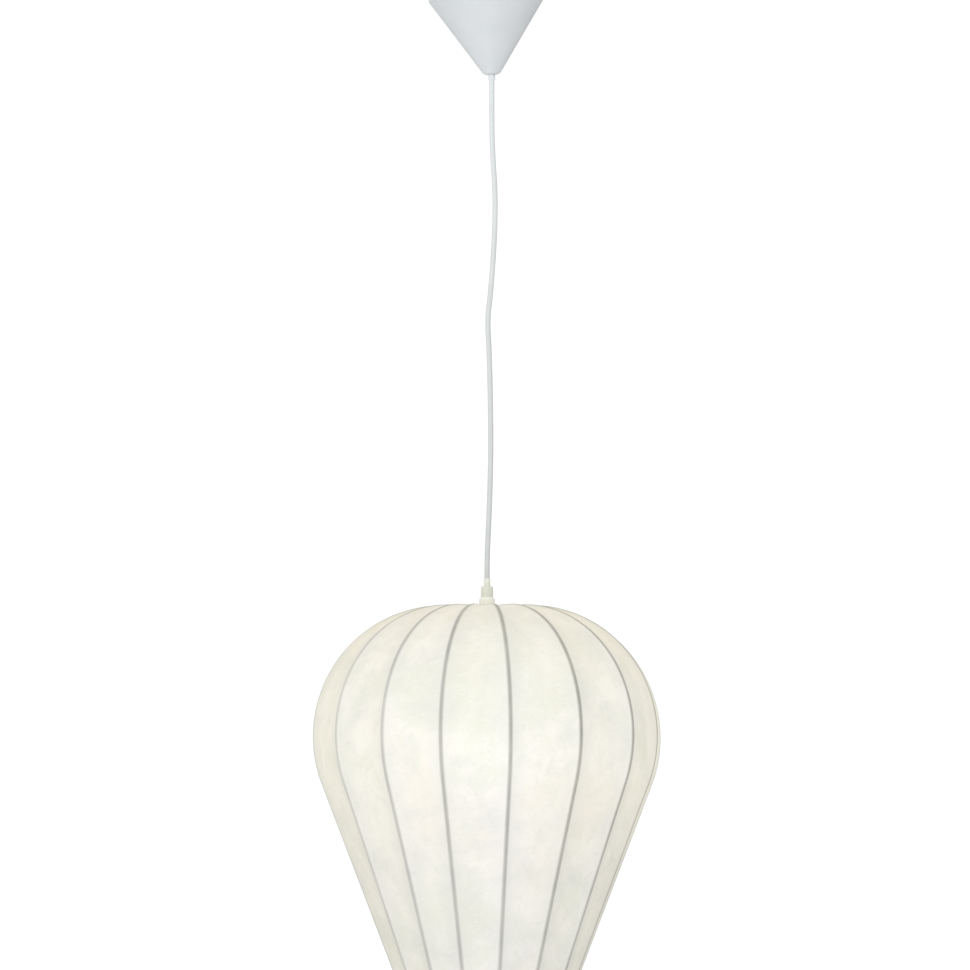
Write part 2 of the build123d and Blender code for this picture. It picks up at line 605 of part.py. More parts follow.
for place, band_name in enumerate(CROWN_BANDS, start=1):
    with BuildPart() as crown_band:
        with BuildSketch(Plane.XZ):
            with BuildLine():
                low_end = 90 - place * BAND_TURN
                outer = CenterArc(CROWN_CENTRE, SHADE_ROUND, low_end, BAND_TURN - SEAM_TURN)
                inner = CenterArc(CROWN_CENTRE, SHADE_ROUND - SKIN, low_end, BAND_TURN - SEAM_TURN)
                Line(outer @ 0, inner @ 0)
                Line(outer @ 1, inner @ 1)
            make_face()
        revolve(axis=Axis.Z)
    save_panels(crown_band.part, band_name)

TAPER_TOP = CROWN_END - FILM_SEAM

save_panels(turned((wall_radius(0, TAPER_TOP), TAPER_TOP), (wall_radius(0, SHADE_BOTTOM), SHADE_BOTTOM),
                   (wall_radius(SKIN, SHADE_BOTTOM), SHADE_BOTTOM),
                   (wall_radius(SKIN, TAPER_TOP), TAPER_TOP)), "film_taper")

# ---------------------------------------------------------------- lampholder

CAVITY = HOLDER_RADIUS - HOLDER_WALL

holder_cap = turned((NIPPLE_HOLE, HUB_BOTTOM), (HOLDER_NECK_RADIUS, HUB_BOTTOM),
                    (HOLDER_NECK_RADIUS, NECK_BOTTOM), (HOLDER_RADIUS, DOME_BOTTOM),
                    (HOLDER_RADIUS, CAP_BOTTOM), (CAVITY, CAP_BOTTOM), (CAVITY, DOME_BOTTOM),
                    (HOLDER_NECK_RADIUS, NECK_BOTTOM - HOLDER_WALL), (NIPPLE_HOLE, NECK_BOTTOM - HOLDER_WALL))
save(holder_cap, "holder_cap")

with BuildPart() as holder_insert:
    with BuildSketch(Plane.XY.offset(INSERT_BOTTOM)):
        Circle(INSERT_RADIUS)
        with Locations((-RIVET_PLACE, 0), (RIVET_PLACE, 0)):
            Circle(RIVET_RADIUS + RUNNING, mode=Mode.SUBTRACT)
        with Locations((-HOLDER_LEAD_END, 0), (HOLDER_LEAD_END, 0)):
            Circle(LEAD_RADIUS + FIT, mode=Mode.SUBTRACT)
    extrude(amount=INSERT_THICKNESS)
save(holder_insert.part, "holder_insert")

SIDE_CONTACT_X = SLEEVE_BORE + RUNNING
SLOT_DEPTH = CONTACT + 2 * LOOSE

with BuildPart() as holder_skirt:
    add(turned((SLEEVE_BORE, SLEEVE_LEDGE), (CAVITY, SLEEVE_LEDGE), (CAVITY, CAP_BOTTOM),
               (HOLDER_RADIUS, CAP_BOTTOM), (HOLDER_RADIUS, SKIRT_BOTTOM),
               (HOLDER_RADIUS - SKIRT_MOUTH_WALL, SKIRT_BOTTOM),
               (HOLDER_RADIUS - SKIRT_MOUTH_WALL, SLEEVE_END), (SLEEVE_BORE, SLEEVE_END)))
    with BuildSketch(Plane.XY.offset(SLEEVE_LEDGE)):
        with Locations((SLEEVE_BORE + SLOT_DEPTH, 0)):
            Rectangle(SIDE_SLOT_REACH, CONTACT_WIDTH + 2 * LOOSE, align=(Align.MAX, Align.CENTER))
    extrude(amount=-SIDE_CONTACT_LENGTH - LOOSE, mode=Mode.SUBTRACT)
save(holder_skirt.part, "holder_skirt")

# ---------------------------------------------------------------- contacts and leads in the lampholder

CENTRE_LOW = INSERT_BOTTOM - CONTACT - CENTRE_CONTACT_DROP
TONGUE_BEND = -RIVET_PLACE / 2
TONGUE_END = RIVET_PLACE / 2

with BuildPart() as centre_contact:
    with BuildSketch(Plane.XZ.offset(-CONTACT_WIDTH / 2)):
        with BuildLine():
            Polyline((-RIVET_PLACE - CONTACT_END, INSERT_BOTTOM), (TONGUE_BEND, INSERT_BOTTOM),
                     (-TONGUE_TIP, CENTRE_LOW + CONTACT), (TONGUE_END, CENTRE_LOW + CONTACT),
                     (TONGUE_END, CENTRE_LOW), (-TONGUE_TIP, CENTRE_LOW),
                     (TONGUE_BEND, INSERT_BOTTOM - CONTACT),
                     (-RIVET_PLACE - CONTACT_END, INSERT_BOTTOM - CONTACT), close=True)
        make_face()
    extrude(amount=CONTACT_WIDTH)
    with BuildSketch(Plane.XY.offset(INSERT_BOTTOM)):
        with Locations((-RIVET_PLACE, 0)):
            Circle(RIVET_RADIUS + RUNNING)
    extrude(amount=-CONTACT, mode=Mode.SUBTRACT)
save(centre_contact.part, "centre_contact")

with BuildPart() as side_contact:
    with BuildSketch(Plane.XZ.offset(-CONTACT_WIDTH / 2)):
        with BuildLine():
            Polyline((RIVET_PLACE - CONTACT_END, INSERT_BOTTOM), (SIDE_CONTACT_X + CONTACT, INSERT_BOTTOM),
                     (SIDE_CONTACT_X + CONTACT, SLEEVE_LEDGE - SIDE_CONTACT_LENGTH),
                     (SIDE_CONTACT_X, SLEEVE_LEDGE - SIDE_CONTACT_LENGTH),
                     (SIDE_CONTACT_X, INSERT_BOTTOM - CONTACT),
                     (RIVET_PLACE - CONTACT_END, INSERT_BOTTOM - CONTACT), close=True)
        make_face()
    extrude(amount=CONTACT_WIDTH)
    with BuildSketch(Plane.XY.offset(INSERT_BOTTOM)):
        with Locations((RIVET_PLACE, 0)):
            Circle(RIVET_RADIUS + RUNNING)
    extrude(amount=-CONTACT, mode=Mode.SUBTRACT)
save(side_contact.part, "side_contact")

with BuildPart() as contact_rivets:
    with BuildSketch(Plane.XY.offset(INSERT_TOP)):
        with Locations((-RIVET_PLACE, 0), (RIVET_PLACE, 0)):
            Circle(RIVET_RADIUS)
    extrude(amount=-INSERT_THICKNESS - CONTACT)
save(contact_rivets.part, "contact_rivets")

LEAD_TURN = NIPPLE_BOTTOM - LEAD_RADIUS
LEAD_DROP = (LEAD_TURN + INSERT_TOP) / 2 - LEAD_RADIUS

with BuildPart() as holder_leads:
    for side in (-1, 1):
        with BuildLine(Plane.XZ) as lead_path:
            FilletPolyline((side * HOLDER_LEAD_OFFSET, NIPPLE_TOP), (side * HOLDER_LEAD_OFFSET, LEAD_TURN),
                           (side * HOLDER_LEAD_END, LEAD_DROP),
                           (side * HOLDER_LEAD_END, INSERT_TOP - LEAD_SOCKET), radius=HOLDER_LEAD_BEND)
        with BuildSketch(Plane(lead_path.line @ 0, z_dir=lead_path.line % 0)):
            Circle(LEAD_RADIUS)
        sweep()
save(holder_leads.part, "holder_leads")

# ---------------------------------------------------------------- bulb

SHELL_INNER = SCREW_SHELL_RADIUS - THREAD_DEPTH - BULB_CAP_WALL
SHELL_ROOT = SCREW_SHELL_RADIUS - THREAD_DEPTH

with BuildPart() as bulb_screw_shell:
    with BuildSketch(Plane.XZ):
        with BuildLine():
            Polyline((SHELL_INNER, SHELL_TOP), (SHELL_ROOT, SHELL_TOP), (SHELL_ROOT, SHELL_BOTTOM),
                     (SHELL_INNER, SHELL_BOTTOM), close=True)
        make_face()
        for turn_number in range(THREAD_TURNS):
            ridge = SHELL_TOP - THREAD_START - turn_number * THREAD_PITCH
            with BuildLine():
                crest = ThreePointArc((SHELL_ROOT - SEAT, ridge + THREAD_PITCH / 2 - FIT),
                                      (SCREW_SHELL_RADIUS, ridge),
                                      (SHELL_ROOT - SEAT, ridge - THREAD_PITCH / 2 + FIT))
                Line(crest @ 1, crest @ 0)
            make_face()
    revolve(axis=Axis.Z)
save(bulb_screw_shell.part, "bulb_screw_shell")

bulb_insulator = turned((0, INSULATOR_TOP), (TIP_SEAT_RADIUS, INSULATOR_TOP), (INSULATOR_RADIUS, SHELL_TOP),
                        (SHELL_INNER - FIT, SHELL_TOP), (SHELL_INNER - FIT, SHELL_TOP - INSULATOR_PLUG),
                        (0, SHELL_TOP - INSULATOR_PLUG))
save(bulb_insulator, "bulb_insulator")

bulb_tip_contact = turned((0, TIP_TOP), (TIP_CROWN_RADIUS, TIP_TOP), (TIP_RADIUS, INSULATOR_TOP),
                          (0, INSULATOR_TOP))
save(bulb_tip_contact, "bulb_tip_contact")

# The body's neck sits inside the screw shell, and its rim carries the diffuser.
BODY_NECK_RADIUS = SHELL_INNER - FIT
BODY_SHOULDER = SCREW_SHELL_RADIUS + BULB_BODY_LIP
BODY_FLARE_TOP = SHELL_BOTTOM - BULB_BODY_COLLAR
BODY_FLARE_RADIUS = BODY_SHOULDER + BULB_BODY_FLARE
BODY_RIM_TOP = BODY_RIM + BULB_BODY_RIM
BODY_BORE = BODY_NECK_RADIUS - BULB_BODY_WALL
BOARD_TOP = BODY_RIM + LED_BOARD + LED_HEIGHT

bulb_body = turned((BODY_BORE, SHELL_BOTTOM + BULB_BODY_NECK),
                   (BODY_NECK_RADIUS, SHELL_BOTTOM + BULB_BODY_NECK),
                   (BODY_NECK_RADIUS, SHELL_BOTTOM), (BODY_SHOULDER, SHELL_BOTTOM),
                   (BODY_FLARE_RADIUS, BODY_FLARE_TOP), (BULB_BODY_RIM_RADIUS, BODY_RIM_TOP),
                   (BULB_BODY_RIM_RADIUS, BODY_RIM), (BULB_BODY_RIM_RADIUS - BULB_BODY_WALL, BODY_RIM),
                   (BULB_BODY_RIM_RADIUS - BULB_BODY_WALL, BODY_RIM_TOP - BULB_BODY_RIM_FLOOR),
                   (BODY_FLARE_RADIUS - BULB_BODY_TAPER_WALL, BODY_FLARE_TOP),
                   (BODY_BORE, SHELL_BOTTOM - BULB_BODY_BORE_END))
save(bulb_body, "bulb_body")

BOARD_RADIUS = BULB_BODY_RIM_RADIUS - BULB_BODY_WALL - FIT

led_board = turned((0, BOARD_TOP), (BOARD_RADIUS, BOARD_TOP), (BOARD_RADIUS, BOARD_TOP - LED_BOARD),
                   (0, BOARD_TOP - LED_BOARD))
save(led_board, "led_board")

with BuildPart() as led_chips:
    with BuildSketch(Plane.XY.offset(BOARD_TOP - LED_BOARD)):
        with PolarLocations(LED_CIRCLE, LED_COUNT):
            Rectangle(LED_SIZE, LED_SIZE)
    extrude(amount=-LED_HEIGHT)
save(led_chips.part, "led_chips")

with BuildPart() as driver_board:
    with BuildSketch(Plane.XY.offset(BOARD_TOP)):
        Rectangle(DRIVER_WIDTH, DRIVER_THICKNESS)
    extrude(amount=DRIVER_HEIGHT)
save(driver_board.part, "driver_board")

DIFFUSER_ANGLE = degrees(asin((BODY_RIM - BULB_CENTRE) / BULB_RADIUS))

with BuildPart() as bulb_diffuser:
    with BuildSketch(Plane.XZ):
        with BuildLine():
            outer = CenterArc((0, BULB_CENTRE), BULB_RADIUS, -90, 90 + DIFFUSER_ANGLE)
            inner = CenterArc((0, BULB_CENTRE), BULB_RADIUS - DIFFUSER_WALL, -90, 90 + DIFFUSER_ANGLE)
            Line(outer @ 0, inner @ 0)
            Line(outer @ 1, inner @ 1)
        make_face()
    revolve(axis=Axis.Z)
save(bulb_diffuser.part, "bulb_diffuser")
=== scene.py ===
"""Looks of the electric pendant lamp: canopy, cord and lit cocoon shade. Metres, CAD frame."""

from math import atan2, cos, pi, radians, sin

import bpy
import numpy as np
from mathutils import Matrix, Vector, noise


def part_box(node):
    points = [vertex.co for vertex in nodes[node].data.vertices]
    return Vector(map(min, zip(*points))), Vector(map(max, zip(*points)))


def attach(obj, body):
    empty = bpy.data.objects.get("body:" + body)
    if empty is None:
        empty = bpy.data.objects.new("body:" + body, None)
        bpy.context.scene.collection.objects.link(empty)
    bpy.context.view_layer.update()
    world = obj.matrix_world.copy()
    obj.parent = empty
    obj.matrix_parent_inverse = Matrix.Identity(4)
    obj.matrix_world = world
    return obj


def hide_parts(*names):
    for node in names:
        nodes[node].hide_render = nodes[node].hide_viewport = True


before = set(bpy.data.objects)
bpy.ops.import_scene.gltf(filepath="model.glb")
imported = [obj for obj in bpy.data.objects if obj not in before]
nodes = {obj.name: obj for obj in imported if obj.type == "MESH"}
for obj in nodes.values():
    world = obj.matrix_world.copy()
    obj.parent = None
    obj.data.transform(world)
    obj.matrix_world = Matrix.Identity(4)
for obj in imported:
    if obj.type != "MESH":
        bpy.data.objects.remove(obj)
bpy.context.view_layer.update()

MM = 0.001


def new_object(name, data):
    """Put new data into the scene as an object."""
    made = bpy.data.objects.new(name, data)
    bpy.context.scene.collection.objects.link(made)
    return made


# ---------------------------------------------------------------- camera, world, floor and light
# Places and sizes in metres, angles in degrees.

CAMERA_DISTANCE = 8.0
CAMERA_HEIGHT = -1.106
CAMERA_SIDE = -0.0023
CAMERA_TILT = 3.782
CAMERA_LENS = 260.7
CAMERA_REACH = 100.0

BACKDROP_STRENGTH = 1.05
SKY_COLOUR = (0.97, 0.985, 1.0)
SKY_BRIGHT = 0.94
SKY_DIM = 0.52
SKY_SIDE = (-0.55, -0.75, -0.1)

FLOOR_DEPTH = 2.6
FLOOR_SIZE = 60.0
FLOOR_COLOUR = (0.86, 0.86, 0.85)
FLOOR_ROUGHNESS = 0.8

KEY_ENERGY = 40.0
KEY_SIZE = 1.6
KEY_PLACE = (-0.7, -3.2, -1.7)
KEY_AIM = (0, 0, -0.7)


def add_camera():
    """The camera stands far off, level with the lower part of the shade, and looks slightly up."""
    camera = new_object("camera", bpy.data.cameras.new("camera"))
    camera.location = (CAMERA_SIDE, -CAMERA_DISTANCE, CAMERA_HEIGHT)
    camera.rotation_euler = (radians(90 + CAMERA_TILT), 0, 0)
    camera.data.lens = CAMERA_LENS
    camera.data.clip_end = CAMERA_REACH
    bpy.context.scene.camera = camera


def add_world():
    """A pale room that is brightest at the front left, with plain white behind the lamp."""
    world = bpy.data.worlds.new("studio")
    bpy.context.scene.world = world
    world.use_nodes = True
    tree = world.node_tree
    tree.nodes.clear()
    place = tree.nodes.new("ShaderNodeTexCoord")
    facing = tree.nodes.new("ShaderNodeVectorMath")
    facing.operation = "DOT_PRODUCT"
    facing.inputs[1].default_value = SKY_SIDE
    tree.links.new(place.outputs["Generated"], facing.inputs[0])
    strength = tree.nodes.new("ShaderNodeMapRange")
    strength.inputs["From Min"].default_value = -1
    strength.inputs["From Max"].default_value = 1
    strength.inputs["To Min"].default_value = SKY_DIM
    strength.inputs["To Max"].default_value = SKY_BRIGHT
    tree.links.new(facing.outputs["Value"], strength.inputs["Value"])
    room = tree.nodes.new("ShaderNodeBackground")
    room.inputs["Color"].default_value = (*SKY_COLOUR, 1)
    tree.links.new(strength.outputs[0], room.inputs["Strength"])
    backdrop = tree.nodes.new("ShaderNodeBackground")
    backdrop.inputs["Color"].default_value = (1, 1, 1, 1)
    backdrop.inputs["Strength"].default_value = BACKDROP_STRENGTH
    path = tree.nodes.new("ShaderNodeLightPath")
    mix = tree.nodes.new("ShaderNodeMixShader")
    tree.links.new(path.outputs["Is Camera Ray"], mix.inputs[0])
    tree.links.new(room.outputs[0], mix.inputs[1])
    tree.links.new(backdrop.outputs[0], mix.inputs[2])
    output = tree.nodes.new("ShaderNodeOutputWorld")
    tree.links.new(mix.outputs[0], output.inputs["Surface"])


def add_floor():
    """A plain pale floor well below the lamp."""
    bpy.ops.mesh.primitive_plane_add(size=FLOOR_SIZE, location=(0, 0, -FLOOR_DEPTH))
    floor = bpy.context.object
    floor.name = "floor"
    surface = bpy.data.materials.new("floor")
    surface.use_nodes = True
    shader = surface.node_tree.nodes["Principled BSDF"]
    shader.inputs["Base Color"].default_value = (*FLOOR_COLOUR, 1)
    shader.inputs["Roughness"].default_value = FLOOR_ROUGHNESS
    floor.data.materials.append(surface)


def add_key_light():
    """A large soft light at the front left, lower than the lamp and aimed up at the cord grip."""
    light = new_object("key", bpy.data.lights.new("key", "AREA"))
    light.location = KEY_PLACE
    light.rotation_euler = (Vector(KEY_AIM) - Vector(KEY_PLACE)).to_track_quat("-Z", "Y").to_euler()
    light.data.energy = KEY_ENERGY
    light.data.size = KEY_SIZE


# ---------------------------------------------------------------- materials
# Noise scales are features per metre; bump distances are metres.

BLACK = (0.0, 0.0, 0.0)
WHITE = (1.0, 1.0, 1.0)

# Nearly all noise values fall between these two.
NOISE_LOW = 0.3
NOISE_HIGH = 0.7

# The mix node has sockets for each kind of data; these are the numbers of its colour ones.
MIX_INPUTS = (6, 7)
MIX_OUTPUT = 2


class Surface:
    """A new material with helpers that add and join its nodes."""

    def __init__(self, name, colour, roughness, metallic=0.0):
        self.material = bpy.data.materials.new(name)
        self.material.use_nodes = True
        self.tree = self.material.node_tree
        self.inputs = self.tree.nodes["Principled BSDF"].inputs
        self.feed(self.inputs["Base Color"], colour)
        self.feed(self.inputs["Roughness"], roughness)
        self.feed(self.inputs["Metallic"], metallic)
        self.place = self.node("ShaderNodeTexCoord").outputs["Object"]

    def node(self, kind, **settings):
        """Add a node and set its properties."""
        made = self.tree.nodes.new(kind)
        for key, value in settings.items():
            setattr(made, key, value)
        return made

    def feed(self, target, value):
        """Give an input a number, a colour, or the output of another node."""
        if isinstance(value, bpy.types.NodeSocket):
            self.tree.links.new(value, target)
        elif isinstance(value, tuple):
            target.default_value = (*value, 1)
        else:
            target.default_value = value

    def axis(self, letter):
        """One coordinate in object space."""
        made = self.node("ShaderNodeSeparateXYZ")
        self.feed(made.inputs[0], self.place)
        return made.outputs[letter]

    def attribute(self, name):
        """A number stored on the mesh."""
        return self.node("ShaderNodeAttribute", attribute_name=name).outputs["Fac"]

    def noise(self, scale, detail=3.0, roughness=0.5, stretch=(1, 1, 1), distortion=0.0):
        """Noise value in object space."""
        mapping = self.node("ShaderNodeMapping")
        mapping.inputs["Scale"].default_value = stretch
        self.feed(mapping.inputs["Vector"], self.place)
        made = self.node("ShaderNodeTexNoise")
        self.feed(made.inputs["Vector"], mapping.outputs[0])
        self.feed(made.inputs["Scale"], scale)
        self.feed(made.inputs["Detail"], detail)
        self.feed(made.inputs["Roughness"], roughness)
        self.feed(made.inputs["Distortion"], distortion)
        return made.outputs["Fac"]

    def math(self, operation, first, second=0.0):
        """Arithmetic on two values."""
        made = self.node("ShaderNodeMath", operation=operation)
        self.feed(made.inputs[0], first)
        self.feed(made.inputs[1], second)
        return made.outputs[0]

    def spread(self, value, low, high, start=NOISE_LOW, end=NOISE_HIGH):
        """Rescale a value from start..end to low..high, and stop it there."""
        made = self.node("ShaderNodeMapRange")
        self.feed(made.inputs["Value"], value)
        self.feed(made.inputs["From Min"], start)
        self.feed(made.inputs["From Max"], end)
        self.feed(made.inputs["To Min"], low)
        self.feed(made.inputs["To Max"], high)
        return made.outputs[0]

    def ramp(self, value, *stops):
        """Colour from a value through (place, colour) stops."""
        made = self.node("ShaderNodeValToRGB")
        elements = made.color_ramp.elements
        while len(elements) < len(stops):
            elements.new(0.5)
        for element, (place, colour) in zip(elements, stops):
            element.position = place
            element.color = (*colour, 1)
        self.feed(made.inputs["Fac"], value)
        return made.outputs["Color"]

    def mix(self, factor, first, second, blend="MIX"):
        """Mix two colours."""
        made = self.node("ShaderNodeMix", data_type="RGBA", blend_type=blend)
        self.feed(made.inputs[0], factor)
        self.feed(made.inputs[MIX_INPUTS[0]], first)
        self.feed(made.inputs[MIX_INPUTS[1]], second)
        return made.outputs[MIX_OUTPUT]

    def multiply(self, first, second):
        """Multiply two colours."""
        return self.mix(1.0, first, second, "MULTIPLY")

    def threads(self, scale, width, strength):
        """Mask of thin wandering threads, where a noise crosses its middle value."""
        level = self.noise(scale, 3, 0.55, distortion=1.4)
        apart = self.math("ABSOLUTE", self.math("SUBTRACT", level, 0.5))
        return self.spread(apart, strength, 0.0, 0.0, width)

    def tint(self, value, dark, light):
        """Vary the base colour between two tints by a noise value."""
        self.feed(self.inputs["Base Color"], self.ramp(value, (NOISE_LOW, dark), (NOISE_HIGH, light)))

    def gloss(self, value, low, high):
        """Vary the roughness by a noise value."""
        self.feed(self.inputs["Roughness"], self.spread(value, low, high))

    def bump(self, height, strength, distance):
        """Bump the surface by a height value; several calls stack up."""
        made = self.node("ShaderNodeBump")
        self.feed(made.inputs["Height"], height)
        self.feed(made.inputs["Strength"], strength)
        self.feed(made.inputs["Distance"], distance)
        normal = self.inputs["Normal"]
        if normal.is_linked:
            self.feed(made.inputs["Normal"], normal.links[0].from_socket)
        self.feed(normal, made.outputs[0])


def moulded(name, dark, light, roughness, grain=1400.0, relief=0.00004):
    """Injection-moulded plastic: faint cloudiness, satin gloss that varies, and a fine spark texture."""
    made = Surface(name, light, roughness)
    made.tint(made.noise(38, 4), dark, light)
    made.gloss(made.noise(160), roughness - 0.08, roughness + 0.08)
    made.bump(made.noise(grain, 2), 0.35, relief)
    made.bump(made.noise(24, 2), 0.2, 0.0004)
    return made


def metal(name, dark, light, roughness=0.32):
    """Bare or plated metal: a crystalline patchiness, uneven gloss and a fine grain."""
    made = Surface(name, light, roughness, 1.0)
    made.tint(made.noise(420, 5, 0.65), dark, light)
    made.gloss(made.noise(900), roughness - 0.12, roughness + 0.14)
    made.bump(made.noise(1500), 0.4, 0.00003)
    return made


def lacquered(name, dark, light):
    """White stove lacquer on wire, with its orange-peel skin and thin yellowed places."""
    made = Surface(name, light, 0.38)
    made.tint(made.noise(70, 5), dark, light)
    made.gloss(made.noise(260), 0.3, 0.5)
    made.bump(made.noise(1100, 2), 0.5, 0.00005)
    return made


def sheathed(name, low, high):
    """Extruded cord sheath with painted shade that darkens it towards the shade: satin, faintly cloudy, with
    fine lines along it.
    """
    made = Surface(name, high, 0.5)
    # painted shade: the sheath runs from the light high colour at the canopy to the darker low colour at the
    # grip
    height = made.spread(made.axis("Z"), 0.0, 1.0, CORD_END * MM, CANOPY_TIP * MM)
    middle = tuple((below + above) / 2 for below, above in zip(low, high))
    colour = made.ramp(height, (0.0, low), (0.55, middle), (1.0, high))
    cloud = made.spread(made.noise(26, 4), 0.95, 1.0)
    made.feed(made.inputs["Base Color"], made.multiply(colour, made.ramp(cloud, (0.0, BLACK), (1.0, WHITE))))
    made.gloss(made.noise(300, stretch=(1, 1, 0.1)), 0.42, 0.6)
    made.bump(made.noise(900, stretch=(1, 1, 0.04)), 0.4, 0.00005)
    return made


def glowing(name, colour, light, strength):
    """Opal plastic or phosphor that gives off light, a little uneven: lit from inside in the bulb, and
    painted light on the grip's cup.
    """
    made = Surface(name, colour, 0.35)
    made.tint(made.noise(60), tuple(0.96 * part for part in colour), colour)
    made.bump(made.noise(800, 2), 0.3, 0.00003)
    made.feed(made.inputs["Emission Color"], light)
    made.feed(made.inputs["Emission Strength"], made.spread(made.noise(30, 2), 0.94 * strength, strength))
    return made


# ---------------------------------------------------------------- cord
# Millimetres.

CORD_TOP = -58.2
CORD_END = -699.2
CANOPY_TIP = -106.0
CORD_RADIUS = 3.0

# How fine the cord's mesh is, round it and along each stretch.
CORD_ROUNDNESS = 8
CORD_STEPS = 16

# The cord's route: straight out of the clamp and through the canopy, then in slack bends.
# Each point is (x, y, drop below the canopy's tip).
CORD_ROUTE = (
    (5.5, 0.0, 32.0),
    (5.5, 0.0, 66.0),
    (6.9, -0.8, 100.0),
    (9.2, -1.8, 132.0),
    (9.2, -2.6, 172.0),
    (6.9, -1.4, 215.0),
    (3.6, 0.8, 256.0),
    (0.4, 2.2, 282.0),
    (2.5, 2.4, 318.0),
    (3.8, 0.9, 370.0),
    (4.5, -1.0, 430.0),
    (3.1, -1.7, 486.0),
    (1.3, -0.9, 528.0),
    (0.0, 0.0, 556.0),
)


def add_cord(material):
    """The sheathed cord from the hanger clamp to the grip, as one smooth curve."""
    points = [(CORD_ROUTE[0][0], 0, CORD_TOP)]
    points += [(x, y, CANOPY_TIP - drop) for x, y, drop in CORD_ROUTE]
    points += [(0, 0, CORD_END)]
    line = bpy.data.curves.new("cord_line", "CURVE")
    line.dimensions = "3D"
    line.bevel_depth = CORD_RADIUS * MM
    line.bevel_resolution = CORD_ROUNDNESS
    line.resolution_u = CORD_STEPS
    line.use_fill_caps = True
    spline = line.splines.new("NURBS")
    spline.points.add(len(points) - 1)
    for control, place in zip(spline.points, points):
        control.co = (*(Vector(place) * MM), 1)
    spline.order_u = 3
    spline.use_endpoint_u = True
    cord = new_object("cord_line", line)
    line.materials.append(material)
    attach(cord, "pendant")
    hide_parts("pendant_cord")


# ---------------------------------------------------------------- shape of the cocoon film
# Millimetres and degrees, apart from what is said to be in radians.

FILM_NODES = ("film_lid", "film_crown", "film_shoulder", "film_belly", "film_taper")
SHADE_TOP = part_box(FILM_NODES[0])[1].z / MM
SHADE_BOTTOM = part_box(FILM_NODES[-1])[0].z / MM
wire_low, wire_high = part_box("bottom_wire")
WIRE_LEVEL = (wire_low.z + wire_high.z) / 2 / MM
WIRE_RING = (wire_high.x - wire_low.x) / 2 / MM - (wire_high.z - wire_low.z) / 2 / MM

# The outline: a flat lid, a round crown, a straight taper, and a hem turned in round the bottom wire.
HOLE_RADIUS = 8.9
LID_RADIUS = 50.0
CROWN_ROUND = 150.0
TAPER = 21.1
HEM_ROUND = 2.6
HEM_TURN = 205.0

# The skin's thickness, and the solidify offset that puts all of it on the inside.
FILM_THICKNESS = 0.4
SHELL_INWARD = -1

# How fine the mesh is.
ROW_STEP = 3.4
GORE_STEPS = 20
HEM_STEPS = 12

# Besides lying flat between two ribs, the film is drawn in by PULL, the share PULL_EDGE of it close
# beside the ribs and the rest towards the middle, and by LID_SAG on the lid. It is tighter near the
# hem and where a gore, the stretch from rib to rib, is narrower than the loose widths.
PULL = 1.3
PULL_EDGE = 0.55
PULL_REACH = 4.5
LID_SAG = 1.9
LID_LOOSE_WIDTH = 22.0
LOOSE_WIDTH = 40.0
TIGHT_HEM = 25.0

# Unevenness: ripples as (size, depth), and creases that bow across the gores. A crease's distance
# from its rib and its length are in radians.
SEED = 7
RIPPLES = ((34.0, 0.7), (11.0, 0.25))
UNEVEN_LIMIT = 0.9
UNEVEN_REACH = 6.0
CREASES = 150
CREASE_WIDTH = 2.2
CREASE_BOW = 480.0
CREASE_FADE = 3.0
CREASE_FROM_RIB = (0.03, 0.16)
CREASE_LEVEL = (60, 600)
CREASE_LENGTH = (0.03, 0.11)
CREASE_DEPTH = (0.15, 0.42)

# Tone of the gores: how much one may be darker than the next, and how much one may differ inside.
GORE_UNEVEN = 0.15
GORE_LEAN = 0.35


def rib_angles():
    """Angle of each rib from the front in radians, read from its node, in order round the shade."""
    outer_part = 2 * LID_RADIUS * MM
    angles = []
    for name in sorted(nodes):
        if name.startswith("rib_") and name != "rib_hub":
            places = np.array([vertex.co for vertex in nodes[name].data.vertices])
            middle = places[np.hypot(places[:, 0], places[:, 1]) > outer_part].mean(axis=0)
            angles.append(atan2(middle[0], -middle[1]) % (2 * pi))
    return sorted(angles)


def film_outline():
    """Outline of the film as rows of (radius, height, slope), and the number of the hem's first row.

    The slope is how far above level the film's outer side faces.
    """
    lid = [(radius, SHADE_TOP, 90.0) for radius in np.arange(HOLE_RADIUS, LID_RADIUS, ROW_STEP)]
    turn = 90 + TAPER
    crown_steps = round(radians(turn) * CROWN_ROUND / ROW_STEP)
    crown = []
    for step in range(crown_steps + 1):
        angle = turn * step / crown_steps
        crown_radius = LID_RADIUS + CROWN_ROUND * sin(radians(angle))
        crown_height = SHADE_TOP - CROWN_ROUND * (1 - cos(radians(angle)))
        crown.append((crown_radius, crown_height, 90.0 - angle))
    hem_radius = WIRE_RING + HEM_ROUND * cos(radians(TAPER))
    hem_height = WIRE_LEVEL - HEM_ROUND * sin(radians(TAPER))
    taper_steps = round((crown_height - WIRE_LEVEL) / cos(radians(TAPER)) / ROW_STEP)
    taper = []
    for step in range(1, taper_steps):
        share = step / taper_steps
        radius = crown_radius + (hem_radius - crown_radius) * share
        height = crown_height + (hem_height - crown_height) * share
        taper.append((radius, height, -TAPER))
    hem = []
    for step in range(HEM_STEPS + 1):
        angle = -TAPER - HEM_TURN * step / HEM_STEPS
        radius = WIRE_RING + HEM_ROUND * cos(radians(angle))
        height = WIRE_LEVEL + HEM_ROUND * sin(radians(angle))
        hem.append((radius, height, angle))
    body = lid + crown + taper
    return np.array(body + hem), len(body)


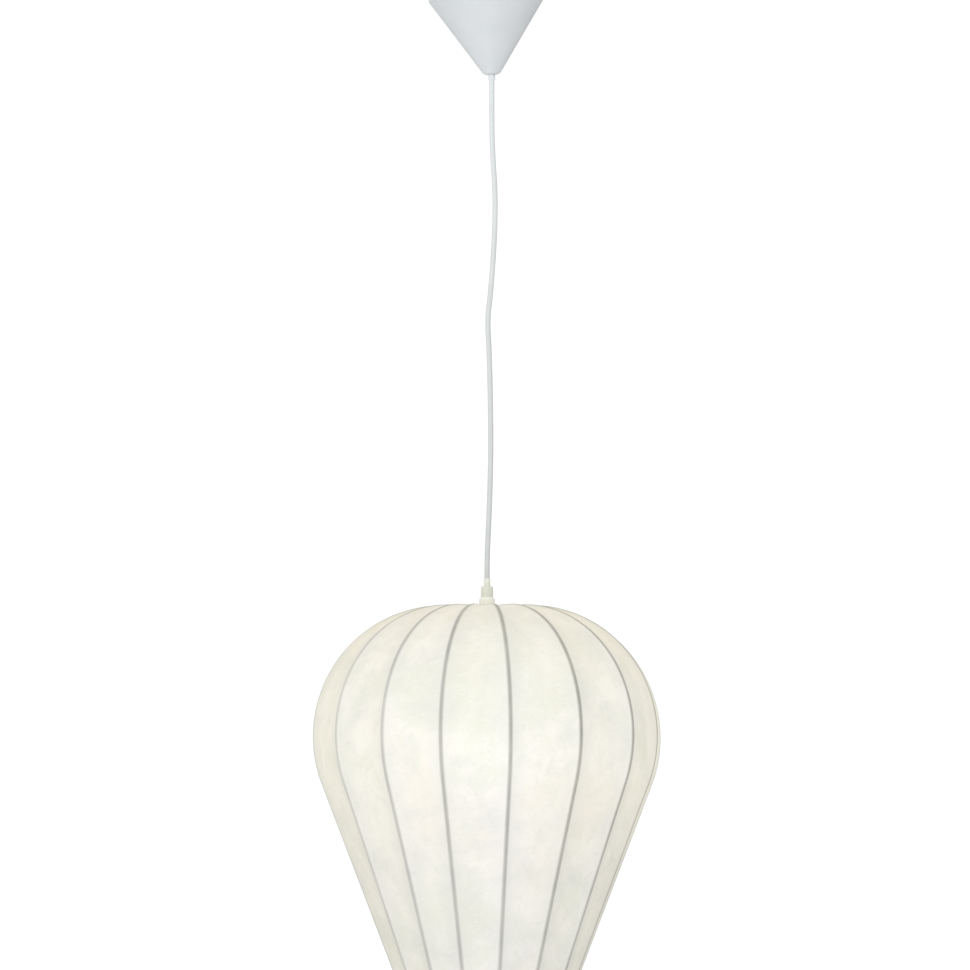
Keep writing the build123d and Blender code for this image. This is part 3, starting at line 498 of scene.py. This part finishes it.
def gore_columns(angles, rng):
    """Columns round the shade as (angle, share across the gore, half the gore's width, random tone plus
    painted side shade), in radians.
    """
    columns = []
    for start, end in zip(angles, angles[1:] + [angles[0] + 2 * pi]):
        # painted shade of the side gores: 0 at the front and back, and 1 at both sides
        side = sin((start + end) / 2) ** 4
        uneven = rng.uniform(0, GORE_UNEVEN)
        lean = rng.uniform(-GORE_LEAN, GORE_LEAN)
        for step in range(GORE_STEPS):
            share = (1 - cos(pi * step / GORE_STEPS)) / 2
            # painted side shade plus each gore's random tone
            tone_and_side_shade = side + uneven + lean * (share - 0.5)
            columns.append((start + (end - start) * share, share, (end - start) / 2, tone_and_side_shade))
    return np.array(columns)


def crease_field(angles, rng):
    """Random creases beside the ribs, as (angle, distance along the outline, length in radians, depth)."""
    creases = []
    for _ in range(CREASES):
        rib = angles[rng.integers(len(angles))]
        side = rng.choice((-1, 1))
        angle = rib + side * rng.uniform(*CREASE_FROM_RIB)
        level = rng.uniform(*CREASE_LEVEL)
        length = rng.uniform(*CREASE_LENGTH)
        depth = rng.uniform(*CREASE_DEPTH)
        creases.append((angle, level, length, depth))
    return creases


def round_axis(radius, height, angle):
    """Points at a radius, a height and an angle from the front."""
    return np.stack([radius * np.sin(angle), -radius * np.cos(angle), height + 0 * angle], -1)


def unevenness(places, along, angle, creases):
    """Ripples and creases of the film: how far each point is drawn in by them."""
    uneven = np.zeros(places.shape[:2])
    for point in np.ndindex(uneven.shape):
        place = Vector(places[point])
        uneven[point] = sum(depth * noise.noise(place / size) for size, depth in RIPPLES)
    for centre, level, length, depth in creases:
        apart = (angle - centre + pi) % (2 * pi) - pi
        off_line = along - level - CREASE_BOW * apart**2
        fade = np.exp(-CREASE_FADE * (apart / length) ** 2)
        uneven += depth * np.exp(-(off_line / CREASE_WIDTH) ** 2) * fade
    return np.clip(uneven, -UNEVEN_LIMIT, UNEVEN_LIMIT)


def film_points(outline, hem_row, columns, creases):
    """Points of the film in rows and columns, and each one's distance from the nearest rib."""
    radius, height, slope = outline.T[:, :, None]
    slope = np.radians(slope)
    steps = np.hypot(*np.diff(outline[:, :2], axis=0).T)
    along = np.concatenate([[0], np.cumsum(steps)])[:, None]
    angle, share, half, _ = columns.T
    offset = half * (2 * share - 1)
    width = 2 * radius * half
    from_rib = radius * (half - np.abs(offset))
    above_hem = along[hem_row] - along
    looseness = np.clip(width / LOOSE_WIDTH, 0, 1) * np.clip(above_hem / TIGHT_HEM, 0, 1)
    # both rise from 0 at a rib to 1: middle on the gore's centre line, edge a few millimetres away
    middle = 1 - (2 * share - 1) ** 2
    edge = 1 - np.exp(-(from_rib / PULL_REACH) ** 2)
    # the straight line from rib to rib lies inside the round outline
    chord = radius * (1 - np.cos(half) / np.cos(offset))
    upright = np.cos(slope)
    inward = chord * upright
    inward = inward + PULL * looseness * (PULL_EDGE * edge + (1 - PULL_EDGE) * middle)
    inward = inward + LID_SAG * (1 - upright) * np.clip(width / LID_LOOSE_WIDTH, 0, 1) * middle
    uneven = unevenness(round_axis(radius, height, angle), along, angle, creases)
    inward = inward + uneven * looseness * (1 - np.exp(-(from_rib / UNEVEN_REACH) ** 2))
    inward = np.maximum(inward, 0)
    points = round_axis(radius - inward * np.cos(slope), height - inward * np.sin(slope), angle)
    return points, from_rib


def ring_faces(rows, across):
    """Four-cornered faces between rows of points that close round the shade."""
    faces = []
    for row in range(rows - 1):
        for column in range(across):
            following = (column + 1) % across
            above = row * across
            below = above + across
            faces.append((above + column, below + column, below + following, above + following))
    return faces


def add_film(material):
    """The sprayed film: drawn in between the ribs and hemmed round the bottom wire."""
    rng = np.random.default_rng(SEED)
    angles = rib_angles()
    outline, hem_row = film_outline()
    columns = gore_columns(angles, rng)
    points, from_rib = film_points(outline, hem_row, columns, crease_field(angles, rng))
    mesh = bpy.data.meshes.new("cocoon_film")
    mesh.from_pydata((points * MM).reshape(-1, 3).tolist(), [], ring_faces(*from_rib.shape))
    mesh.shade_smooth()
    tone_and_side_shade = np.broadcast_to(columns[:, 3], from_rib.shape)
    for name, values in (("rib_gap", from_rib), ("gore_tone_and_side_shade", tone_and_side_shade)):
        attribute = mesh.attributes.new(name, "FLOAT", "POINT")
        attribute.data.foreach_set("value", values.astype(np.float32).ravel())
    mesh.materials.append(material)
    film = new_object("cocoon_film", mesh)
    shell = film.modifiers.new("thickness", "SOLIDIFY")
    shell.thickness = FILM_THICKNESS * MM
    shell.offset = SHELL_INWARD
    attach(film, "pendant")
    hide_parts(*FILM_NODES)


# ---------------------------------------------------------------- look of the cocoon film

# Tints of the film and how much light it sends back and gives off.
FILM_PALE = (0.99, 0.965, 0.885)
FILM_BRIGHT = (1.0, 0.995, 0.95)
FILM_WARM = (0.97, 0.92, 0.83)
FILM_GREEN = (0.88, 0.875, 0.765)
FILM_GREY = (0.83, 0.825, 0.785)
FILM_ALBEDO = (0.47, 0.47, 0.47)
FILM_GLOW = 0.565

# Painted shade that darkens the film: at its left, and in the gores at both sides together with each gore's
# random tone.
FILM_LEFT_SHADE = (0.93, 0.93, 0.93)
FILM_SIDE_SHADE = (0.94, 0.92, 0.85)

# Colour of the light in the film, as (share of the shade's height, colour) from the mouth to the lid.
FILM_LIGHT = (
    (0.0, (0.70, 0.71, 0.73)),
    (0.4, (0.81, 0.81, 0.82)),
    (0.62, (0.95, 0.95, 0.95)),
    (0.8, WHITE),
    (0.94, (1.0, 0.98, 0.92)),
    (1.0, (1.0, 0.95, 0.84)),
)

# The dark line over each rib is a painted shadow of the wire; it ends softly from LINE_INNER to LINE_OUTER,
# and the film beside it is darkened with painted shade out to LINE_SHADE, all in millimetres from the rib.
LINE_INNER = 1.0
LINE_OUTER = 3.25
LINE_SHADE = 22.0
LINE_SHADE_DEPTH = 0.5

# The line fades to LINE_LOW between these shares of the shade's height, and to LINE_THIN in patches.
LINE_LOW = 0.72
LINE_LOW_FROM = 0.6
LINE_LOW_TO = 0.1
LINE_THIN = 0.75

# Colours of the painted shadow, darker towards the right as painted shade, as (share of the shade's width,
# colour) from left to right.
LINE_SHADOW_COLOURS = (
    (0.1, (0.57, 0.56, 0.515)),
    (0.4, (0.42, 0.415, 0.38)),
    (0.75, (0.37, 0.36, 0.31)),
)


def film_tints(made, patches, fibres):
    """Colour of the film itself: warm and green clouds, grey patches, pale fibres, flecks and threads."""
    clouds = made.noise(9, 5, 0.55, distortion=0.6)
    flecks = made.noise(48, 5, 0.6, stretch=(1, 1, 0.6), distortion=0.8)
    colour = made.ramp(clouds, (0.34, FILM_GREEN), (0.5, FILM_PALE), (0.7, FILM_WARM))
    colour = made.mix(made.spread(patches, 0.0, 0.75, 0.48, 0.72), colour, FILM_GREY)
    colour = made.mix(made.spread(fibres, 0.0, 0.6, 0.5, 0.72), colour, FILM_PALE)
    colour = made.mix(made.spread(flecks, 0.0, 0.65, 0.5, 0.68), colour, FILM_GREEN)
    colour = made.mix(made.threads(52, 0.02, 0.45), colour, FILM_BRIGHT)
    return made.mix(made.threads(31, 0.014, 0.5), colour, FILM_GREY)


def film_material():
    """Cloudy sprayed film, lit from inside, with painted shadows of the ribs as dark lines, painted shade
    beside them, at its left and in the side gores.
    """
    made = Surface("cocoon_film", FILM_PALE, 0.55)
    half_width = (LID_RADIUS + CROWN_ROUND) * MM
    height = made.spread(made.axis("Z"), 0.0, 1.0, SHADE_BOTTOM * MM, SHADE_TOP * MM)
    across = made.spread(made.axis("X"), 0.0, 1.0, -half_width, half_width)
    gap = made.attribute("rib_gap")
    tone_and_side_shade = made.attribute("gore_tone_and_side_shade")
    patches = made.noise(21, 5, 0.6)
    fibres = made.noise(75, 6, 0.7, stretch=(1, 1, 2.6), distortion=1.2)
    colour = film_tints(made, patches, fibres)
    # painted shade on the film beside each rib
    colour = made.mix(made.spread(gap, LINE_SHADE_DEPTH, 0.0, 0.0, LINE_SHADE), colour, FILM_GREY)
    # painted shade at the film's left
    colour = made.multiply(colour, made.ramp(across, (0.0, FILM_LEFT_SHADE), (1.0, WHITE)))
    # painted shade in the gores at both sides, with each gore's random tone
    colour = made.multiply(colour, made.ramp(tone_and_side_shade, (0.0, WHITE), (1.0, FILM_SIDE_SHADE)))
    # painted shadow of each rib's wire
    line = made.spread(gap, 1.0, 0.0, LINE_INNER, LINE_OUTER)
    line = made.math("MULTIPLY", line, made.spread(height, LINE_LOW, 1.0, LINE_LOW_TO, LINE_LOW_FROM))
    line = made.math("MULTIPLY", line, made.spread(patches, LINE_THIN, 1.0))
    # the painted shadow darkens towards the right
    colour = made.mix(line, colour, made.ramp(across, *LINE_SHADOW_COLOURS))
    made.feed(made.inputs["Base Color"], made.multiply(colour, FILM_ALBEDO))
    made.feed(made.inputs["Emission Color"], made.multiply(colour, made.ramp(height, *FILM_LIGHT)))
    made.feed(made.inputs["Emission Strength"], FILM_GLOW)
    made.bump(fibres, 0.3, 0.0003)
    made.bump(made.noise(330, 4, 0.6), 0.25, 0.0001)
    return made.material


# ---------------------------------------------------------------- finishes of the CAD pieces


def paint(surface, *names):
    """Give CAD nodes a material."""
    for name in names:
        nodes[name].data.materials.clear()
        nodes[name].data.materials.append(surface.material)


def paint_fixing_and_canopy():
    """The ceiling fixing, the hanging, the wiring, the canopy and its stop."""
    paint(moulded("clamp_plastic", (0.70, 0.70, 0.66), (0.78, 0.78, 0.75), 0.5),
          "hanger_clamp", "clamp_saddle")
    paint(moulded("block_plastic", (0.66, 0.68, 0.62), (0.74, 0.75, 0.70), 0.4), "terminal_block")
    paint(moulded("canopy_plastic", (0.70, 0.725, 0.74), (0.735, 0.755, 0.77), 0.36, 700, 0.00006), "canopy")
    paint(moulded("stop_plastic", (0.80, 0.82, 0.83), (0.86, 0.88, 0.89), 0.3), "canopy_stop")
    paint(moulded("lead_insulation", (0.20, 0.11, 0.07), (0.27, 0.15, 0.10), 0.45),
          "supply_leads", "holder_leads")


def paint_metals():
    """The plated steel, brass and soldered pieces of the whole lamp."""
    paint(metal("zinc_steel", (0.42, 0.43, 0.45), (0.66, 0.67, 0.69)),
          "ceiling_plate", "ceiling_hook", "hook_locknut", "hanging_ring", "clamp_screws",
          "terminal_screws", "threaded_nipple", "contact_rivets")
    paint(metal("brass", (0.62, 0.43, 0.17), (0.83, 0.62, 0.28)),
          "terminal_tubes", "centre_contact", "side_contact")
    paint(metal("bulb_shell", (0.55, 0.55, 0.54), (0.80, 0.80, 0.79), 0.25), "bulb_screw_shell")
    paint(metal("solder", (0.40, 0.40, 0.40), (0.66, 0.66, 0.66), 0.4), "bulb_tip_contact")


def paint_grip_and_frame():
    """The cord grip, its opal cup and the shade's wire frame."""
    frame_pieces = [name for name in nodes if name.startswith("rib_")] + ["bottom_wire"]
    paint(moulded("grip_plastic", (0.81, 0.815, 0.70), (0.87, 0.875, 0.78), 0.34),
          "grip_sleeve", "grip_body")
    # The cup's glow is painted light, standing in for light thrown on it by the lit shade below.
    paint(glowing("cup_opal_painted_glow", (0.88, 0.87, 0.77), (1.0, 0.98, 0.88), 0.16), "base_cup")
    paint(lacquered("frame_wire", (0.62, 0.62, 0.56), (0.74, 0.74, 0.69)), *frame_pieces)


def paint_holder_and_bulb():
    """The lampholder and the lit bulb."""
    paint(moulded("holder_plastic", (0.74, 0.74, 0.69), (0.80, 0.80, 0.76), 0.3),
          "holder_cap", "holder_skirt")
    paint(moulded("insert_ceramic", (0.68, 0.66, 0.60), (0.78, 0.76, 0.71), 0.7, 600, 0.0001),
          "holder_insert")
    paint(moulded("bulb_black", (0.010, 0.010, 0.011), (0.022, 0.022, 0.024), 0.2), "bulb_insulator")
    paint(moulded("bulb_plastic", (0.76, 0.76, 0.73), (0.82, 0.82, 0.80), 0.4), "bulb_body")
    paint(moulded("board_white", (0.76, 0.77, 0.76), (0.82, 0.83, 0.82), 0.4), "led_board")
    paint(moulded("driver_laminate", (0.02, 0.10, 0.045), (0.035, 0.15, 0.07), 0.35), "driver_board")
    paint(glowing("bulb_opal", (0.92, 0.90, 0.84), (1.0, 0.93, 0.82), 3.0), "bulb_diffuser")
    paint(glowing("led_phosphor", (0.90, 0.72, 0.25), (1.0, 0.9, 0.6), 5.0), "led_chips")


# ---------------------------------------------------------------- the scene

bpy.context.scene.view_settings.view_transform = "Standard"
add_camera()
add_world()
add_floor()
add_key_light()
paint_metals()
paint_fixing_and_canopy()
paint_grip_and_frame()
paint_holder_and_bulb()
# the cord's darker first colour is painted shade towards the shade, the second its colour at the canopy
add_cord(sheathed("cord_sheath", (0.63, 0.65, 0.63), (0.83, 0.845, 0.845)).material)
add_film(film_material())
